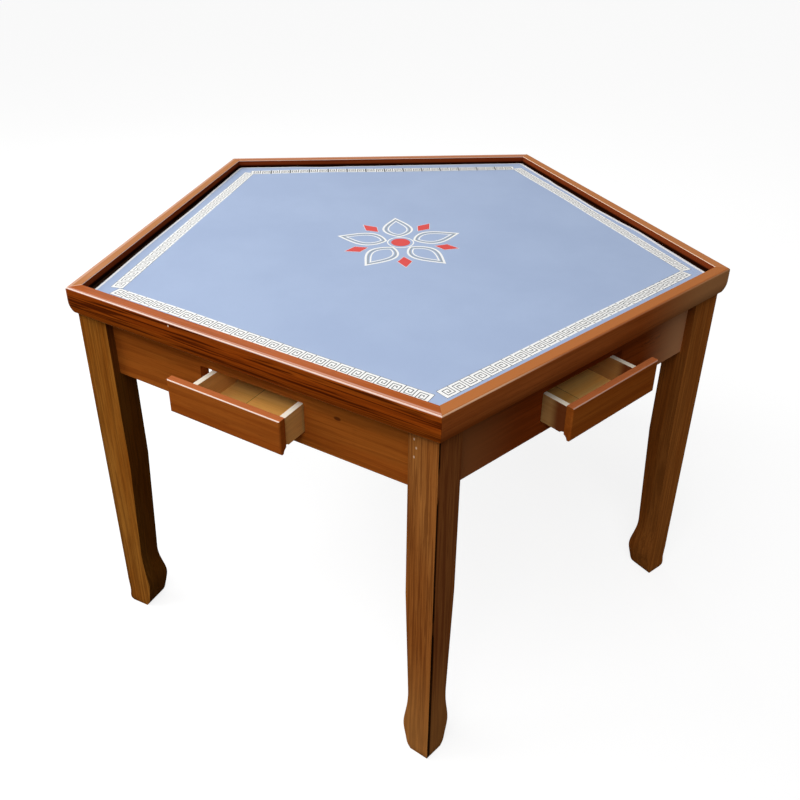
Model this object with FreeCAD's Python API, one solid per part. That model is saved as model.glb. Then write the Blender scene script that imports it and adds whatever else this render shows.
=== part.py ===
import FreeCAD, Part
import math
import os

# Five-sided game table: a mitred rim with a recessed playing mat, a mortised frame of five
# legs and five aprons, and one drawer in the middle of every side.
# Millimetres, +Z up, floor at Z = 0. The origin is under the centre of the table's bounding
# box; one corner of the pentagon points along -Y and the side opposite faces +Y.

# ---- overall sizes ------------------------------------------------------------------------
SIDE_COUNT = 5
SIDE_LENGTH = 740.0          # outer edge of the rim, corner to corner
TABLE_HEIGHT = 750.0

# ---- rim rails ----------------------------------------------------------------------------
RIM_HEIGHT = 54.0
RIM_WIDTH = 61.0             # outer face to the rail's inner edge
RIM_BAND_WIDTH = 22.5        # flat band seen round the playing surface
RIM_ARRIS_RADIUS = 4.0       # rounding of the top outer edge
RIM_INNER_ARRIS = 1.5        # rounding of the top inner edge
RIM_FACE_DROP = 26.0         # top to where the plumb face turns into the quarter round
RIM_UNDERCUT = 10.0          # how far the quarter round and lip draw in towards the bottom
RIM_ROUND_END_RADIUS = 4.0   # small radius that ends the round above the lip
RIM_LIP_HEIGHT = 2.5         # square lip under the quarter round
RIM_LIP_STEP = 1.2

# ---- playing surface ----------------------------------------------------------------------
RECESS_DEPTH = 16.0          # rim top to the mat
MAT_THICKNESS = 2.0
PANEL_THICKNESS = 12.0
PANEL_CLEARANCE = 0.5
MAT_CLEARANCE = 1.5

# ---- mitre keys ---------------------------------------------------------------------------
KEY_LENGTH = 32.0
KEY_WIDTH = 36.0
KEY_THICKNESS = 4.0
KEY_BELOW_LEDGE = 8.0        # ledge to the middle of the key
KEY_CLEARANCE = 0.15

# ---- legs ---------------------------------------------------------------------------------
LEG_SQUARE = 56.0            # width of each face of the square blank, set cornerwise
LEG_SETBACK = 1.0            # leg's outer arris inside the rim's bottom corner
LEG_SEAT_DEPTH = 4.0         # flat planed off the inner arris where the brace bears
TAPER_START = 372.0          # height where the taper begins
# horse-hoof foot, from the ankle down to the sole: height, then for each level how far the
# outer arris draws in, half the width across the side arrises, how far those lie behind the
# blank's outer arris, and how far the inner arris does
FOOT_LEVELS = (
    (150.0, 0.0, 33.0, 32.0, 68.5),
    (118.0, 0.0, 33.8, 32.4, 67.5),
    (88.0, 0.0, 37.4, 34.6, 73.0),
    (56.0, 0.0, 39.2, 36.6, 79.0),
    (26.0, 0.0, 35.0, 33.6, 73.0),
    (6.0, 0.6, 30.6, 30.0, 65.5),
    (0.0, 4.0, 27.0, 27.0, 58.0),
)

# ---- aprons -------------------------------------------------------------------------------
APRON_HEIGHT = 120.0
APRON_THICKNESS = 19.0
APRON_ARRIS_RADIUS = 1.5     # rounding of the lower outer edge
APRON_SETBACK = 36.0         # rim's outer face to the apron's outer face
TENON_THICKNESS = 10.0
TENON_CORNER_GAP = 7.6       # tenon's end to the upright plane through the corner
TENON_SHOULDER = 10.0        # shoulder above and below the tenon
JOINT_CLEARANCE = 0.2
MORTISE_EXTRA_DEPTH = 0.5

# ---- drawer opening -----------------------------------------------------------------------
OPENING_WIDTH = 214.0
OPENING_HEIGHT = 60.0
OPENING_BELOW_RIM = 38.0     # rim's underside to the top of the opening
OPENING_CORNER_RADIUS = 4.0

# ---- drawers ------------------------------------------------------------------------------
DRAWER_SIDE_GAP = 13.5       # opening's side to the box, on each side
DRAWER_LEFT_INSIDE = 60.0    # length of the box still inside at full travel
DRAWER_SIDE_THICKNESS = 10.0
DRAWER_BACK_THICKNESS = 10.0
DRAWER_BOTTOM_THICKNESS = 5.0
DRAWER_BOTTOM_LIFT = 5.0     # sides' lower edge to the underside of the bottom board
DRAWER_TOP_GAP = 3.5         # opening's top to the sides' top edge
DRAWER_UNDER_GAP = 3.0       # opening's lower edge to the sides' lower edge
BOX_OFFSET = 10.5            # box off the opening's middle, where a drawer leans to one side
FRONT_OFFSET = 7.5           # front off the opening's middle, the other way
FRONT_THICKNESS = 13.0
FRONT_SIDE_OVERLAP = 8.5     # front past the opening on each side, when centred
FRONT_TOP_OVERLAP = 1.5
FRONT_BOTTOM_OVERLAP = 2.0
FRONT_EDGE_RADIUS = 3.0
FINGER_COVE_RADIUS = 10.0    # hollow along the back of the front's lower edge
FINGER_COVE_INSET = 3.0      # its centre behind the front's back
FINGER_COVE_DROP = 1.0       # and below the front's lower edge
HOUSING_DEPTH = 6.0          # drawer sides let into the front
BACK_HOUSING_DEPTH = 4.0     # drawer back let into the sides
GROOVE_DEPTH = 4.0           # bottom board let into sides and front
BOX_CLEARANCE = 0.12
FRONT_CLEARANCE = 0.3        # closed front to the apron
DRAWER_REST_OPENING = 49.0   # how far the two front drawers stand open

# ---- drawer runners and stops -------------------------------------------------------------
RUNNER_THICKNESS = 16.0
RUNNER_SIDE_GAP = 1.0
RUNNER_UNDER_GAP = 0.3
RUNNER_OVER_GAP = 1.0
RUNNER_ARM_WIDTH = 14.5      # how far ledge and kicker reach under and over the drawer side
RUNNER_ARM_THICKNESS = 12.0
RUNNER_PAST_DRAWER = 3.0
RUNNER_NEIGHBOUR_GAP = 68.5  # runner's rear end to where it would meet the next side's runner
RUNNER_RIM_GAP = 0.5         # notch over the runner's front end, round the rail
STOP_WIDTH = 40.0
STOP_REACH = 6.0             # stop's lower edge below the sides' top edge
STOP_CLEARANCE = 0.5

# ---- corner braces ------------------------------------------------------------------------
BRACE_THICKNESS = 20.0
BRACE_HEIGHT = 70.0
BRACE_BELOW_RIM = 20.0
BOLT_RADIUS = 4.0
BOLT_HOLE_RADIUS = 4.2
BOLT_IN_LEG = 28.0
BOLT_PAST_NUT = 4.0
NUT_ACROSS_FLATS = 13.0
NUT_THICKNESS = 6.5
WASHER_RADIUS = 12.0
WASHER_THICKNESS = 2.0
BOLT_FACETS = 12             # the hidden bolts and washers are many-sided, not round
WASHER_FACETS = 24

# ---- values worked out from the sizes above -----------------------------------------------
HALF_ANGLE = math.pi / SIDE_COUNT
APOTHEM = SIDE_LENGTH / 2.0 / math.tan(HALF_ANGLE)
CORNER_RADIUS = SIDE_LENGTH / 2.0 / math.sin(HALF_ANGLE)
AXIS_Y = (CORNER_RADIUS - APOTHEM) / 2.0
RIM_BOTTOM = TABLE_HEIGHT - RIM_HEIGHT
LEDGE_Z = TABLE_HEIGHT - RECESS_DEPTH - MAT_THICKNESS - PANEL_THICKNESS
PANEL_TOP = LEDGE_Z + PANEL_THICKNESS
BAND_INNER = APOTHEM - RIM_BAND_WIDTH
RIM_INNER = APOTHEM - RIM_WIDTH
LEG_ARRIS = (APOTHEM - RIM_UNDERCUT) / math.cos(HALF_ANGLE) - LEG_SETBACK
LEG_HALF_DIAGONAL = LEG_SQUARE * math.sqrt(0.5)
LEG_SEAT = LEG_ARRIS - 2.0 * LEG_HALF_DIAGONAL + LEG_SEAT_DEPTH
APRON_OUTER = APOTHEM - APRON_SETBACK
APRON_INNER = APRON_OUTER - APRON_THICKNESS
APRON_BOTTOM = RIM_BOTTOM - APRON_HEIGHT
OPENING_TOP = RIM_BOTTOM - OPENING_BELOW_RIM
OPENING_BOTTOM = OPENING_TOP - OPENING_HEIGHT
BOX_TOP = OPENING_TOP - DRAWER_TOP_GAP
BOX_BOTTOM = OPENING_BOTTOM + DRAWER_UNDER_GAP
BOX_HALF_WIDTH = OPENING_WIDTH / 2.0 - DRAWER_SIDE_GAP
BOARD_BOTTOM = BOX_BOTTOM + DRAWER_BOTTOM_LIFT
BOARD_TOP = BOARD_BOTTOM + DRAWER_BOTTOM_THICKNESS
FRONT_BACK = APRON_OUTER + FRONT_CLEARANCE
RUNNER_INNER = BOX_HALF_WIDTH + RUNNER_SIDE_GAP
RUNNER_OUTER = RUNNER_INNER + RUNNER_THICKNESS
RUNNER_REAR = RUNNER_OUTER / math.tan(HALF_ANGLE) + RUNNER_NEIGHBOUR_GAP
BOX_REAR = RUNNER_REAR + RUNNER_PAST_DRAWER
DRAWER_TRAVEL = FRONT_BACK - BOX_REAR - DRAWER_LEFT_INSIDE
FRONT_HALF_WIDTH = OPENING_WIDTH / 2.0 + FRONT_SIDE_OVERLAP
FRONT_TOP = OPENING_TOP + FRONT_TOP_OVERLAP
FRONT_BOTTOM = OPENING_BOTTOM - FRONT_BOTTOM_OVERLAP
BRACE_OUTER = LEG_SEAT
BRACE_INNER = BRACE_OUTER - BRACE_THICKNESS
BRACE_TOP = RIM_BOTTOM - BRACE_BELOW_RIM
BRACE_MIDDLE = BRACE_TOP - BRACE_HEIGHT / 2.0

# direction that each side faces and each corner points to, in degrees from +X
SIDES = {
    "back": 90.0,
    "right": 18.0,
    "front_right": -54.0,
    "front_left": -126.0,
    "left": 162.0,
}
CORNERS = {
    "back_right": 54.0,
    "right": -18.0,
    "front": -90.0,
    "left": -162.0,
    "back_left": 126.0,
}
OPEN_AT_REST = ("front_left", "front_right")
# which way along its own side each drawer's box leans, +1 towards the side's +X end
BOX_LEAN = {"back": 0, "right": 1, "front_right": 1, "front_left": -1, "left": -1}


# Every piece is built for the side or corner that faces +Y, with the pentagon's axis on Z,
# and then turned to its own side.

def vec(x, y, z):
    return FreeCAD.Vector(x, y, z)


def box(x0, x1, y0, y1, z0, z1):
    return Part.makeBox(x1 - x0, y1 - y0, z1 - z0, vec(x0, y0, z0))


def plan_prism(points, z0, z1):
    """A prism over a polygon drawn in plan."""
    wire = Part.makePolygon([vec(x, y, z0) for x, y in points] + [vec(points[0][0], points[0][1], z0)])
    return Part.Face(wire).extrude(vec(0, 0, z1 - z0))


def mirrored(shape):
    """The same piece on the other side of its drawer."""
    return shape.mirror(vec(0, 0, 0), vec(1, 0, 0))


def turned(shape, facing, outward=0.0, aside=0.0):
    """Moves a piece outward along +Y and aside along +X, then turns it about the table's axis
    to its own side."""
    placed = shape.copy()
    placed.translate(vec(aside, outward, 0))
    placed.rotate(vec(0, 0, 0), vec(0, 0, 1), facing - 90.0)
    placed.translate(vec(0, AXIS_Y, 0))
    return placed


def pentagon(apothem, z0, z1):
    """A five-sided plate whose sides face the same ways as the table's."""
    radius = apothem / math.cos(HALF_ANGLE)
    angles = [math.radians(a) for a in CORNERS.values()]
    return plan_prism([(radius * math.cos(a), radius * math.sin(a)) for a in angles], z0, z1)


def side_wedge(reach):
    """The slice of the table that belongs to one side, out to the mitres."""
    half = reach * math.tan(HALF_ANGLE)
    return plan_prism([(0, 0), (half, reach), (-half, reach)], 0, TABLE_HEIGHT)


# ---- rim ----------------------------------------------------------------------------------

def arc(centre, radius, angle_0, angle_1):
    """An arc in the YZ plane, its angles in degrees from +Y towards +Z, and its two ends."""
    angles = (angle_0, (angle_0 + angle_1) / 2.0, angle_1)
    y, z = centre
    points = []
    for angle in angles:
        turn = math.radians(angle)
        points.append(vec(0, y + radius * math.cos(turn), z + radius * math.sin(turn)))
    return Part.Arc(*points).toShape(), points[0], points[2]


def rail_section():
    """Rail in section, in the YZ plane: rebate inside, plumb face and oval round outside."""
    top = TABLE_HEIGHT
    outer = APOTHEM
    outer_arris, band_end, face_top = arc(
        (outer - RIM_ARRIS_RADIUS, top - RIM_ARRIS_RADIUS), RIM_ARRIS_RADIUS, 90, 0
    )
    inner_arris, wall_top, band_start = arc(
        (BAND_INNER + RIM_INNER_ARRIS, top - RIM_INNER_ARRIS), RIM_INNER_ARRIS, 180, 90
    )
    # a long arc tangent to the plumb face runs into a short one tangent to the lip's top
    inset = RIM_UNDERCUT - RIM_LIP_STEP
    drop = RIM_HEIGHT - RIM_FACE_DROP - RIM_LIP_HEIGHT
    small = RIM_ROUND_END_RADIUS
    large = (inset ** 2 + (drop - small) ** 2 - small ** 2) / (2.0 * (inset - small))
    round_bottom = RIM_BOTTOM + RIM_LIP_HEIGHT
    meeting = -math.degrees(math.asin((drop - small) / (large - small)))
    long_arc, face_bottom, _ = arc((outer - large, top - RIM_FACE_DROP), large, 0, meeting)
    short_arc, _, round_end = arc((outer - inset, round_bottom + small), small, meeting, -90)
    lip = outer - RIM_UNDERCUT
    corners = [
        round_end, vec(0, lip, round_bottom), vec(0, lip, RIM_BOTTOM), vec(0, RIM_INNER, RIM_BOTTOM),
        vec(0, RIM_INNER, LEDGE_Z), vec(0, BAND_INNER, LEDGE_Z), wall_top,
    ]
    edges = [Part.LineSegment(band_start, band_end).toShape(), outer_arris]
    edges += [Part.LineSegment(face_top, face_bottom).toShape(), long_arc, short_arc]
    edges += [Part.LineSegment(a, b).toShape() for a, b in zip(corners, corners[1:])]
    edges.append(inner_arris)
    return Part.Face(Part.Wire(edges))


def mitre_key(clearance):
    """A key lying flat across a mitre, at the corner that points along +Y."""
    half_length = KEY_LENGTH / 2.0 + clearance
    half_width = KEY_WIDTH / 2.0 + clearance
    half_thickness = KEY_THICKNESS / 2.0 + clearance
    middle_z = LEDGE_Z - KEY_BELOW_LEDGE
    inner_corner = RIM_INNER / math.cos(HALF_ANGLE)
    bottom_corner = (APOTHEM - RIM_UNDERCUT) / math.cos(HALF_ANGLE)
    middle = (inner_corner + bottom_corner) / 2.0
    return box(
        -half_length, half_length,
        middle - half_width, middle + half_width,
        middle_z - half_thickness, middle_z + half_thickness,
    )


def rim_rail():
    half = SIDE_LENGTH
    rail = rail_section().extrude(vec(2 * half, 0, 0))
    rail.translate(vec(-half, 0, 0))
    rail = rail.common(side_wedge(APOTHEM * 1.2))
    for sign in (-1, 1):
        slot = mitre_key(KEY_CLEARANCE)
        slot.rotate(vec(0, 0, 0), vec(0, 0, 1), sign * math.degrees(HALF_ANGLE))
        rail = rail.cut(slot)
    return rail


# ---- legs ---------------------------------------------------------------------------------

def leg_corners(z, inset, half_width, side_setback, depth):
    """Four corners of the leg's section: outer, side, inner and side arris."""
    side = LEG_ARRIS - side_setback
    return [
        vec(0, LEG_ARRIS - inset, z),
        vec(half_width, side, z),
        vec(0, LEG_ARRIS - depth, z),
        vec(-half_width, side, z),
    ]


def smooth_edge(points, first_direction):
    """A spline through the points that leaves the first one along the taper."""
    curve = Part.BSplineCurve()
    last_direction = points[-1].sub(points[-2])
    curve.interpolate(Points=points, InitialTangent=first_direction, FinalTangent=last_direction)
    return curve.toShape()


def leg_blank():
    """The shaped leg before its mortises: plumb, then tapered, then swept into the foot."""
    half = LEG_HALF_DIAGONAL
    top = leg_corners(RIM_BOTTOM, 0.0, half, half, 2.0 * half)
    start = leg_corners(TAPER_START, 0.0, half, half, 2.0 * half)
    foot = [leg_corners(*level) for level in FOOT_LEVELS]
    count = len(top)
    plumb = [Part.LineSegment(top[i], start[i]).toShape() for i in range(count)]
    taper = [Part.LineSegment(start[i], foot[0][i]).toShape() for i in range(count)]
    hoof = []
    for i in range(count):
        along_taper = foot[0][i].sub(start[i])
        along_taper.normalize()
        hoof.append(smooth_edge([ring[i] for ring in foot], along_taper * 30.0))
    faces = []
    for edges in (plumb, taper, hoof):
        for i in range(count):
            faces.append(Part.makeRuledSurface(edges[i], edges[(i + 1) % count]))
    for ring in (top, foot[-1]):
        faces.append(Part.Face(Part.makePolygon(ring + [ring[0]])))
    shell = Part.makeShell(faces)
    shell.sewShape()
    solid = Part.makeSolid(shell)
    if solid.Volume < 0:
        solid.reverse()
    return solid


def leg_face_x(y):
    """Where the leg's face beside the drawer side of the table stands, in the side's frame."""
    sine, cosine = math.sin(HALF_ANGLE), math.cos(HALF_ANGLE)
    half = LEG_HALF_DIAGONAL
    side = LEG_ARRIS - half
    inner = LEG_ARRIS - 2.0 * half
    x0, y0 = side * sine - half * cosine, side * cosine + half * sine
    x1, y1 = inner * sine, inner * cosine
    return x0 + (x1 - x0) * (y - y0) / (y1 - y0)


def tenon(clearance, extra_depth):
    """The tenon on the +X end of an apron, or its mortise with a clearance."""
    middle = (APRON_OUTER + APRON_INNER) / 2.0
    inner = middle - TENON_THICKNESS / 2.0
    end = (inner * math.sin(HALF_ANGLE) - TENON_CORNER_GAP) / math.cos(HALF_ANGLE)
    return box(
        leg_face_x(middle) - APRON_THICKNESS, end + extra_depth,
        inner - clearance, inner + TENON_THICKNESS + clearance,
        APRON_BOTTOM + TENON_SHOULDER - clearance, RIM_BOTTOM - TENON_SHOULDER + clearance,
    )


def leg():
    solid = leg_blank()
    mortise = tenon(JOINT_CLEARANCE, MORTISE_EXTRA_DEPTH)
    mortise.rotate(vec(0, 0, 0), vec(0, 0, 1), math.degrees(HALF_ANGLE))
    half = LEG_HALF_DIAGONAL
    seat_cut = box(-half, half, LEG_SEAT - half, LEG_SEAT, APRON_BOTTOM, RIM_BOTTOM + 1)
    solid = solid.cut([mortise, mirrored(mortise), seat_cut])
    return solid.cut(bolt_hole(LEG_SEAT + BOLT_IN_LEG + MORTISE_EXTRA_DEPTH))


# ---- aprons, braces and bolts -------------------------------------------------------------

def opening_cut():
    """The drawer opening through the apron, with rounded corners."""
    half = OPENING_WIDTH / 2.0
    cut = box(-half, half, APRON_INNER - 5, APRON_OUTER + 5, OPENING_BOTTOM, OPENING_TOP)
    edges = [e for e in cut.Edges if abs(e.tangentAt(e.FirstParameter).y) > 0.9]
    return cut.makeFillet(OPENING_CORNER_RADIUS, edges)


def apron():
    outer, inner = leg_face_x(APRON_OUTER), leg_face_x(APRON_INNER)
    plan = [(-outer, APRON_OUTER), (outer, APRON_OUTER), (inner, APRON_INNER), (-inner, APRON_INNER)]
    board = plan_prism(plan, APRON_BOTTOM, RIM_BOTTOM)
    lower_edge = [
        e for e in board.Edges
        if all(abs(v.Y - APRON_OUTER) + abs(v.Z - APRON_BOTTOM) < 0.01 for v in e.Vertexes)
    ]
    board = board.makeFillet(APRON_ARRIS_RADIUS, lower_edge)
    board = board.fuse([tenon(0.0, 0.0), mirrored(tenon(0.0, 0.0))]).removeSplitter()
    return board.cut(opening_cut())


def brace():
    """A board set square across the corner, its ends bevelled to the two aprons."""
    corner = APRON_INNER / math.cos(HALF_ANGLE)
    slope = 1.0 / math.tan(HALF_ANGLE)
    wide = (corner - BRACE_INNER) * slope
    narrow = (corner - BRACE_OUTER) * slope
    plan = [
        (-wide, BRACE_INNER), (wide, BRACE_INNER), (narrow, BRACE_OUTER), (-narrow, BRACE_OUTER)
    ]
    board = plan_prism(plan, BRACE_TOP - BRACE_HEIGHT, BRACE_TOP)
    return board.cut(bolt_hole(BRACE_OUTER + 1.0))


def bolt_hole(end):
    start = BRACE_INNER - 1.0
    return Part.makeCylinder(BOLT_HOLE_RADIUS, end - start, vec(0, start, BRACE_MIDDLE), vec(0, 1, 0))


def faceted_rod(sides, radius, start, end):
    """A prism along Y with its corners at the given radius, at the height of the bolts."""
    ring = []
    for i in range(sides):
        angle = 2.0 * math.pi * i / sides
        ring.append(vec(radius * math.cos(angle), start, BRACE_MIDDLE + radius * math.sin(angle)))
    return Part.Face(Part.makePolygon(ring + [ring[0]])).extrude(vec(0, end - start, 0))


def leg_bolt():
    """Bolt, washer and nut that draw a leg tight against its brace."""
    seat = BRACE_INNER
    washer_face = seat - WASHER_THICKNESS
    nut_face = washer_face - NUT_THICKNESS
    end = LEG_SEAT + BOLT_IN_LEG
    start = nut_face - BOLT_PAST_NUT
    bolt = faceted_rod(BOLT_FACETS, BOLT_RADIUS, start, end)
    washer = faceted_rod(WASHER_FACETS, WASHER_RADIUS, washer_face, washer_face + WASHER_THICKNESS)
    nut = faceted_rod(6, NUT_ACROSS_FLATS / math.sqrt(3), nut_face, nut_face + NUT_THICKNESS)
    return bolt.fuse([washer, nut]).removeSplitter()


# ---- drawers ------------------------------------------------------------------------------

def drawer_side(grow=0.0):
    """The +X side of the box; grown, it is the housing that it leaves in its neighbours."""
    return box(
        BOX_HALF_WIDTH - DRAWER_SIDE_THICKNESS - grow, BOX_HALF_WIDTH + grow,
        BOX_REAR - grow, FRONT_BACK + HOUSING_DEPTH + grow,
        BOX_BOTTOM - grow, BOX_TOP + grow,
    )


def drawer_bottom(grow=0.0):
    half = BOX_HALF_WIDTH - DRAWER_SIDE_THICKNESS + GROOVE_DEPTH + grow
    return box(
        -half, half, BOX_REAR - grow, FRONT_BACK + GROOVE_DEPTH + grow,
        BOARD_BOTTOM - grow, BOARD_TOP + grow,
    )


def drawer_back(grow=0.0):
    half = BOX_HALF_WIDTH - DRAWER_SIDE_THICKNESS + BACK_HOUSING_DEPTH + grow
    return box(
        -half, half, BOX_REAR + RUNNER_PAST_DRAWER - grow,
        BOX_REAR + RUNNER_PAST_DRAWER + DRAWER_BACK_THICKNESS + grow,
        BOARD_TOP + 2 * BOX_CLEARANCE - grow, BOX_TOP + grow,
    )


def finger_cove():
    """Hollow behind the front's lower edge, run out under the ends of the drawer sides."""
    reach = 2.0 * FRONT_HALF_WIDTH
    start = vec(-reach, FRONT_BACK - FINGER_COVE_INSET, FRONT_BOTTOM - FINGER_COVE_DROP)
    return Part.makeCylinder(FINGER_COVE_RADIUS, 2.0 * reach, start, vec(1, 0, 0))


def drawer_front(middle):
    """The overlaid front: rounded show edges, housings behind, a finger cove along the bottom.
    X is measured from the middle of the box and the front's own middle is at the given X."""
    panel = box(
        middle - FRONT_HALF_WIDTH, middle + FRONT_HALF_WIDTH,
        FRONT_BACK, FRONT_BACK + FRONT_THICKNESS, FRONT_BOTTOM, FRONT_TOP,
    )
    face_y = FRONT_BACK + FRONT_THICKNESS
    show_edges = [e for e in panel.Edges if all(abs(v.Y - face_y) < 0.01 for v in e.Vertexes)]
    panel = panel.makeFillet(FRONT_EDGE_RADIUS, show_edges)
    side = drawer_side(BOX_CLEARANCE)
    return panel.cut([finger_cove(), side, mirrored(side), drawer_bottom(BOX_CLEARANCE)])


def shaped_drawer_side():
    cuts = [drawer_bottom(BOX_CLEARANCE), drawer_back(BOX_CLEARANCE), finger_cove()]
    return drawer_side().cut(cuts)


# ---- runners and stops --------------------------------------------------------------------

def drawer_runner():
    """Channel-shaped runner on the +X side: guide board, ledge below, kicker above."""
    ledge_top = BOX_BOTTOM - RUNNER_UNDER_GAP
    ledge_bottom = ledge_top - RUNNER_ARM_THICKNESS
    kicker_bottom = BOX_TOP + RUNNER_OVER_GAP
    kicker_top = kicker_bottom + RUNNER_ARM_THICKNESS
    arm_end = RUNNER_INNER - RUNNER_ARM_WIDTH
    guide = box(RUNNER_INNER, RUNNER_OUTER, RUNNER_REAR, APRON_INNER, ledge_bottom, LEDGE_Z)
    ledge = box(arm_end, RUNNER_INNER, RUNNER_REAR, APRON_INNER, ledge_bottom, ledge_top)
    kicker = box(arm_end, RUNNER_INNER, RUNNER_REAR, APRON_INNER, kicker_bottom, kicker_top)
    notch = box(
        RUNNER_INNER - 1, RUNNER_OUTER + 1, min(RIM_INNER - RUNNER_RIM_GAP, APRON_INNER),
        APRON_INNER + 1, RIM_BOTTOM, LEDGE_Z + 1,
    )
    return guide.fuse([ledge, kicker]).removeSplitter().cut(notch)


def drawer_stop():
    """Block behind the apron that the drawer's back meets at full travel."""
    back_board_face = BOX_REAR + RUNNER_PAST_DRAWER + DRAWER_BACK_THICKNESS
    inner = back_board_face + DRAWER_TRAVEL + STOP_CLEARANCE
    half = STOP_WIDTH / 2.0
    return box(-half, half, inner, APRON_INNER, BOX_TOP - STOP_REACH, RIM_BOTTOM)


# ---- build --------------------------------------------------------------------------------

def group(shapes):
    return Part.makeCompound(shapes)


def build_nodes():
    nodes = {}
    angles = SIDES.values()
    for name, facing in SIDES.items():
        nodes["rim_rail_" + name] = turned(rim_rail(), facing)
        nodes["apron_" + name] = turned(apron(), facing)
        out = DRAWER_REST_OPENING if name in OPEN_AT_REST else 0.0
        aside = BOX_LEAN[name] * BOX_OFFSET
        front = drawer_front(-BOX_LEAN[name] * (BOX_OFFSET + FRONT_OFFSET))
        side = shaped_drawer_side()
        nodes[name + "_drawer_front"] = turned(front, facing, out, aside)
        nodes[name + "_drawer_side_a"] = turned(side, facing, out, aside)
        nodes[name + "_drawer_side_b"] = turned(mirrored(side), facing, out, aside)
        nodes[name + "_drawer_back"] = turned(drawer_back(), facing, out, aside)
        nodes[name + "_drawer_bottom"] = turned(drawer_bottom(), facing, out, aside)
        nodes[name + "_drawer_runner_a"] = turned(drawer_runner(), facing, 0.0, aside)
        nodes[name + "_drawer_runner_b"] = turned(mirrored(drawer_runner()), facing, 0.0, aside)
    for name, facing in CORNERS.items():
        nodes["leg_" + name] = turned(leg(), facing)
        nodes["corner_brace_" + name] = turned(brace(), facing)
    nodes["top_panel"] = turned(pentagon(BAND_INNER - PANEL_CLEARANCE, LEDGE_Z, PANEL_TOP), 90.0)
    mat_top = PANEL_TOP + MAT_THICKNESS
    nodes["playing_mat"] = turned(pentagon(BAND_INNER - MAT_CLEARANCE, PANEL_TOP, mat_top), 90.0)
    nodes["drawer_stops"] = group([turned(drawer_stop(), a) for a in angles])
    nodes["rim_mitre_keys"] = group([turned(mitre_key(0.0), a) for a in CORNERS.values()])
    nodes["leg_bolts"] = group([turned(leg_bolt(), a) for a in CORNERS.values()])
    return nodes


os.makedirs("parts", exist_ok=True)
for node_name, shape in build_nodes().items():
    shape.exportStep("parts/" + node_name + ".step")
    print(node_name, len(shape.Solids), round(shape.Volume / 1000.0, 1), "cm3", shape.isValid())
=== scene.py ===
"""Looks of the five-sided game table: varnished woods, a printed mat, a pale studio and a
camera."""
import math

import bpy
from mathutils import Matrix, Vector


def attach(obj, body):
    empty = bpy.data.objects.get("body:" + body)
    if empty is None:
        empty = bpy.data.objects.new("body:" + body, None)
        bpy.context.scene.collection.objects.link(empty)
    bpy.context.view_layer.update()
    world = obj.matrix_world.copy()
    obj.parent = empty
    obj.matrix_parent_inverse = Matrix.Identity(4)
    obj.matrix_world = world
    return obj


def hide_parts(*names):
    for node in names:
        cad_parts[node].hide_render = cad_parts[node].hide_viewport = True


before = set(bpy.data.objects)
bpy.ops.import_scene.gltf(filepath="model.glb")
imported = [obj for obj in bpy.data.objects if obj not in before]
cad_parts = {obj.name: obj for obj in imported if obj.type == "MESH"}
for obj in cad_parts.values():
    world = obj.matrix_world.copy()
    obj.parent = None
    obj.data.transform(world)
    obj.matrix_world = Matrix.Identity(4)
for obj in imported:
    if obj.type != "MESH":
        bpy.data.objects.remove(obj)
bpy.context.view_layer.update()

# ---- sizes in metres, as in the CAD source -------------------------------------------------
SIDE_LENGTH = 0.740
HALF_ANGLE = math.pi / 5.0
APOTHEM = SIDE_LENGTH / 2.0 / math.tan(HALF_ANGLE)
CORNER_RADIUS = SIDE_LENGTH / 2.0 / math.sin(HALF_ANGLE)
# the table's axis lies this far behind the middle of its box
AXIS_Y = (CORNER_RADIUS - APOTHEM) / 2.0
PANEL_TOP = 0.732
MAT_THICKNESS = 0.002
MAT_APOTHEM = 0.4853
RIM_LIP_TOP = 0.6985
# directions of the sides and of the corners, in degrees from +X
SIDES = {
    "back": 90.0,
    "right": 18.0,
    "front_right": -54.0,
    "front_left": -126.0,
    "left": 162.0,
}
CORNERS = {
    "back_right": 54.0,
    "right": -18.0,
    "front": -90.0,
    "left": -162.0,
    "back_left": 126.0,
}


def srgb(red, green, blue):
    """A colour written as 0 to 255 display values, as the linear colour that a shader takes."""
    linear = []
    for value in (red, green, blue):
        c = value / 255.0
        linear.append(c / 12.92 if c <= 0.04045 else ((c + 0.055) / 1.055) ** 2.4)
    return (*linear, 1.0)


def on_side(facing, x, out):
    """A point in a side's own frame, x along it and out from the table's axis, in the part's."""
    turn = math.radians(facing - 90.0)
    c, s = math.cos(turn), math.sin(turn)
    return Vector((x * c - out * s, x * s + out * c + AXIS_Y, 0.0))


def turned(points, angle):
    """Points of a flat drawing, turned about its origin."""
    c, s = math.cos(angle), math.sin(angle)
    return [(x * c - y * s, x * s + y * c) for x, y in points]


# ---- node helpers --------------------------------------------------------------------------
# the Mix node's sockets for colours
MIX_FIRST, MIX_SECOND, MIX_RESULT = 6, 7, 2


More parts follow.
